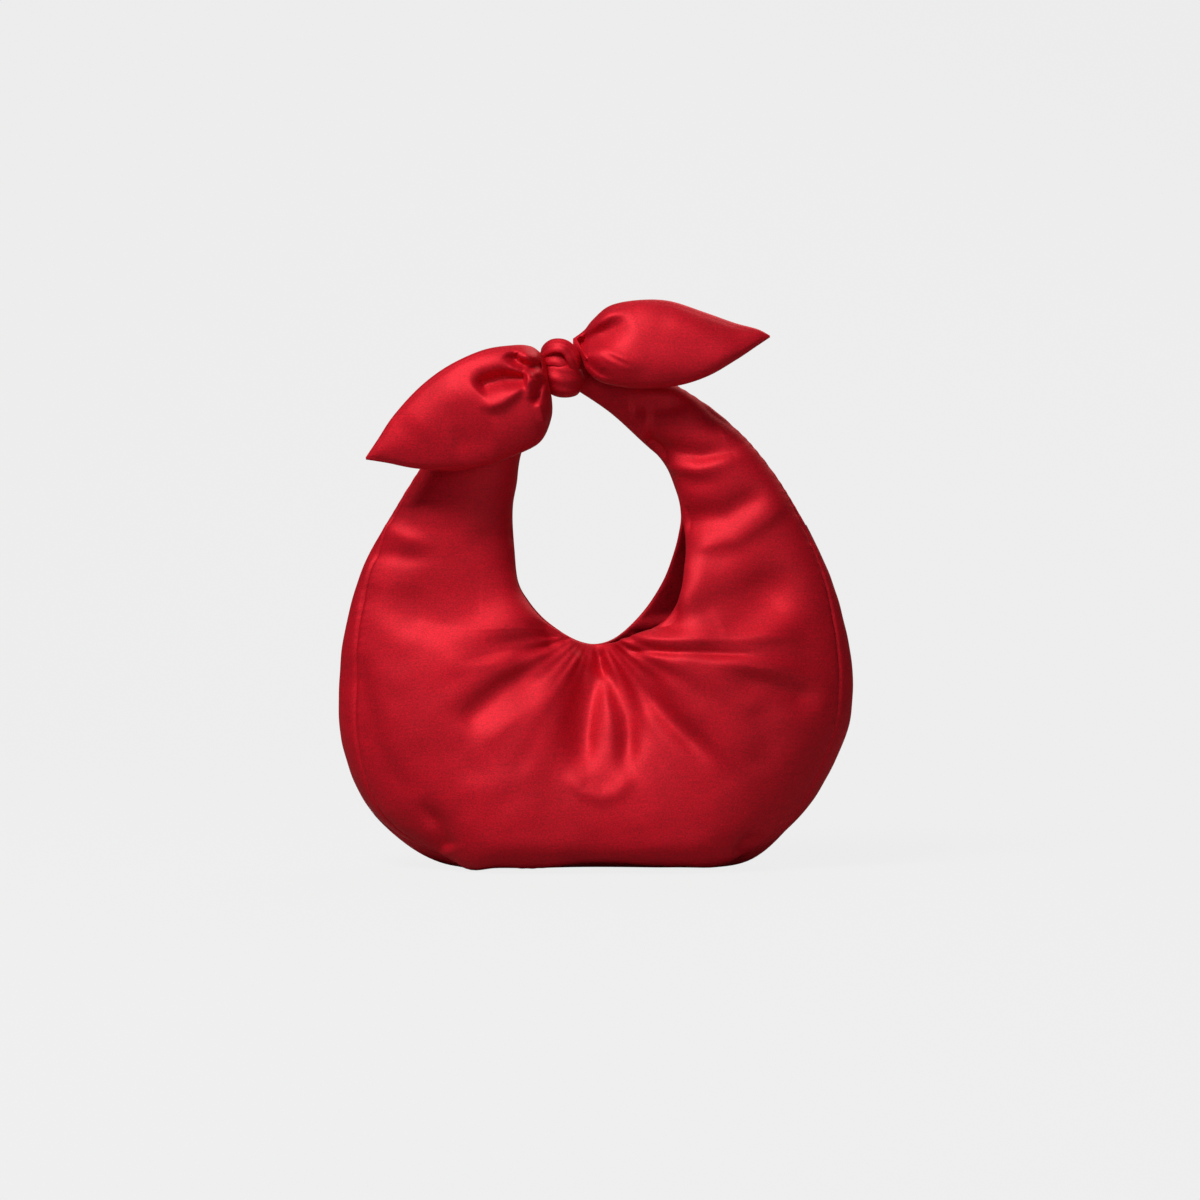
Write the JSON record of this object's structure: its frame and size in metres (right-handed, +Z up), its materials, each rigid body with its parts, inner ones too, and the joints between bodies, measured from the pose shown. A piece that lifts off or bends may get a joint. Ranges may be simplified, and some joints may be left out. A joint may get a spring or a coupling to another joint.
{
  "type": "knotted padded satin handbag",
  "caption": "Small puffy satin bag with an open curved mouth over a front pleat, a flat base, and strap ends tied in a knot with leaf-shaped tails.",
  "frame": {"origin": "under the middle of the base, on the surface that the bag stands on", "axes": "+X across the bag to the right tail, +Y towards the back, +Z up"},
  "size_m": [0.3196, 0.1114, 0.355],
  "materials": {
    "satin": "wadded duchess satin, soft sheen",
    "lining": "thin plain-woven lining",
    "snap": "plated magnetic snap"
  },
  "bodies": {
    "root": {"front_panel": "satin", "back_panel": "satin", "base_panel": "satin", "left_strap": "satin", "right_strap": "satin", "knot": "satin", "left_tail": "satin", "right_tail": "satin", "lining": "lining", "front_snap": "snap", "back_snap": "snap"}
  },
  "joints": []
}
